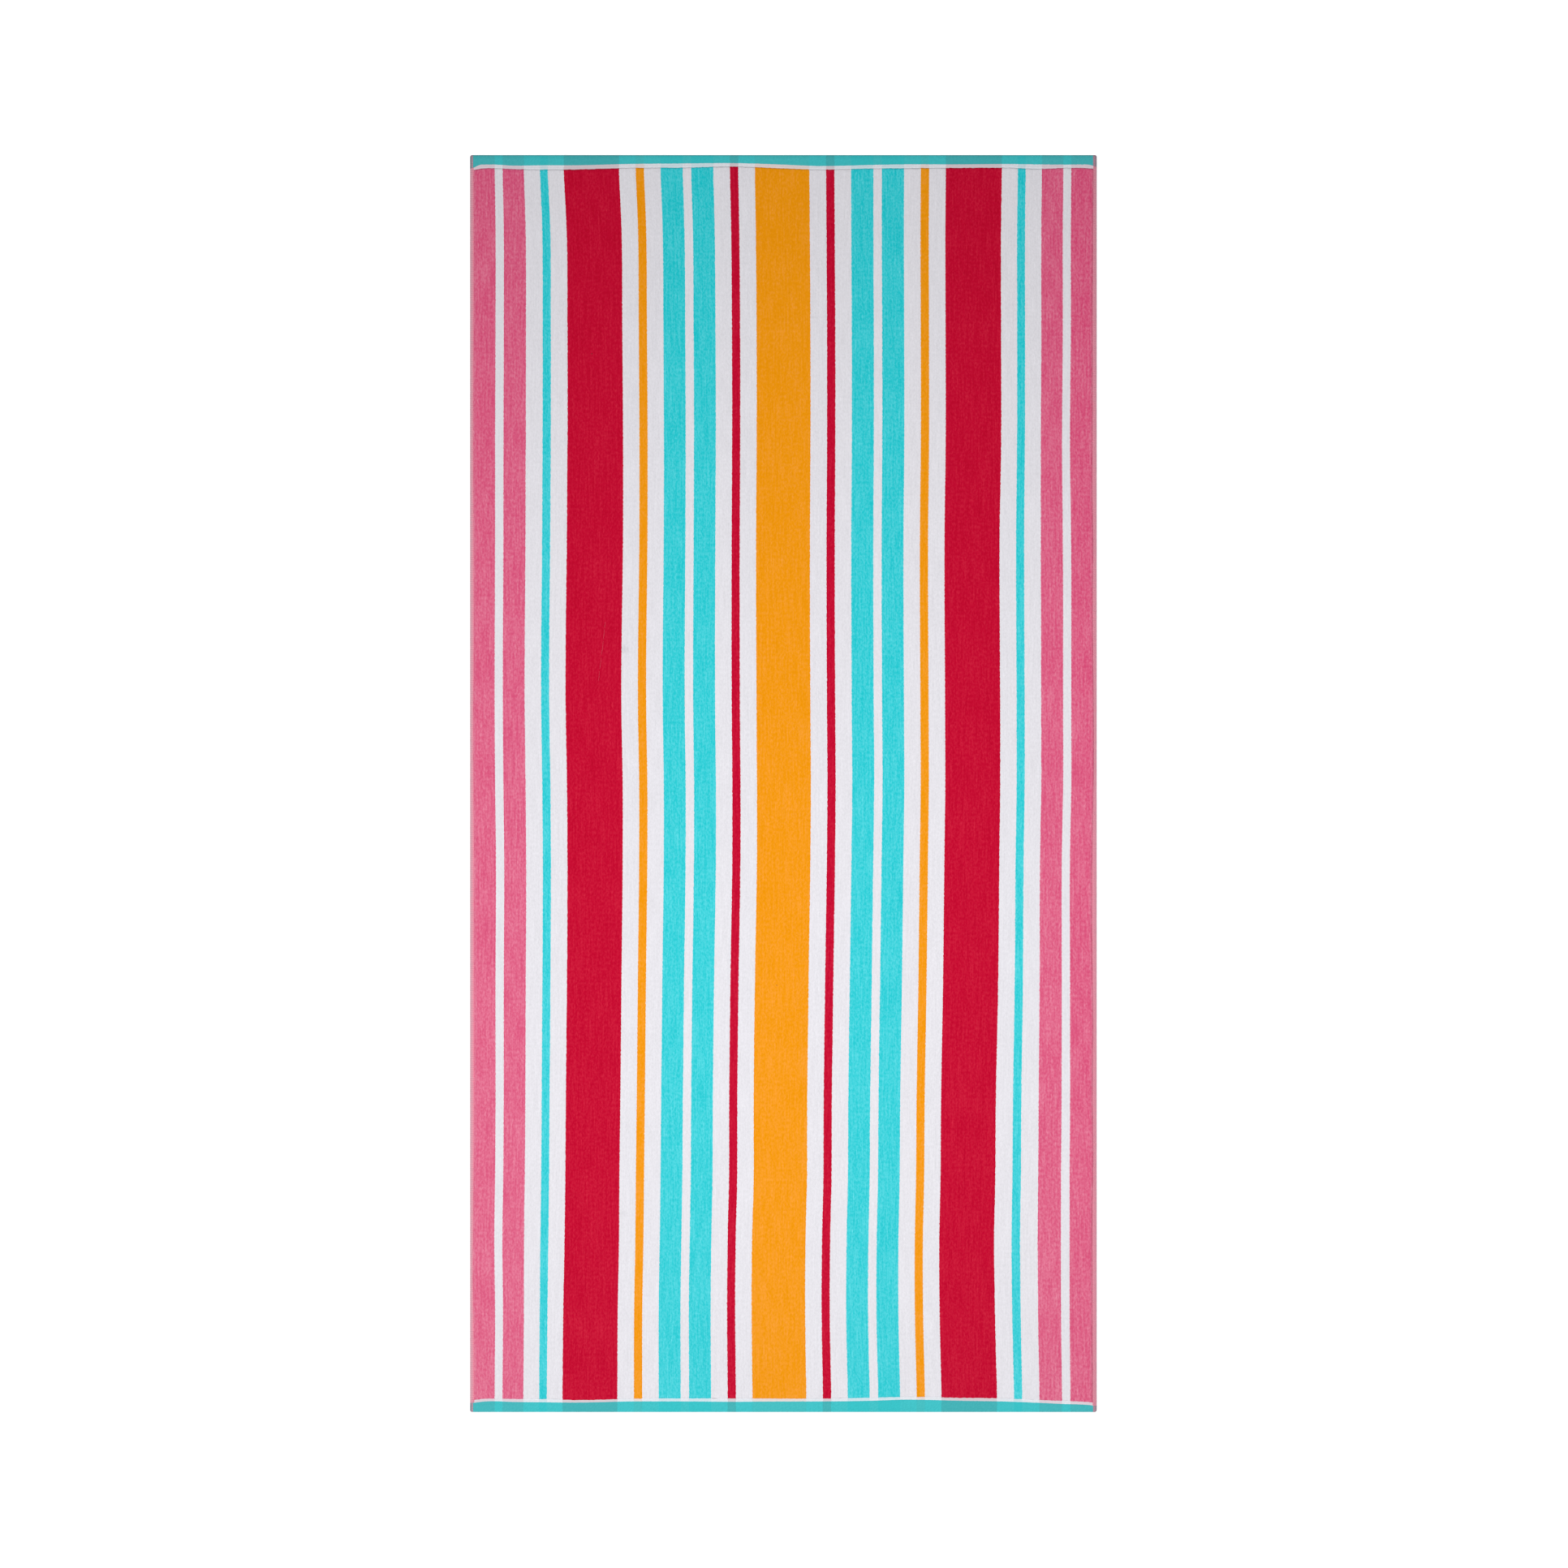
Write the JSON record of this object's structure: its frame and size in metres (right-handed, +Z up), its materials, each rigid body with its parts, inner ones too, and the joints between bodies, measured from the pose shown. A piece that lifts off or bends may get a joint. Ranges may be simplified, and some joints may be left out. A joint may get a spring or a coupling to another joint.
{
  "type": "beach towel",
  "caption": "Long rectangular velour terry beach towel with lengthwise stripes, flat-woven end borders and turned hems, lying flat with the pile up.",
  "frame": {"origin": "under the middle of the towel, on the surface that it lies on", "axes": "+X across the towel, +Y along its length, +Z up, out of the velour pile"},
  "size_m": [0.761, 1.526, 0.0033],
  "materials": {
    "cloth": "matt cotton velour terry in white, orange, red, turquoise and pink lengthwise stripes",
    "thread": "soft matt sewing thread, pale pink"
  },
  "bodies": {
    "root": {"towel": "cloth"}
  },
  "joints": []
}
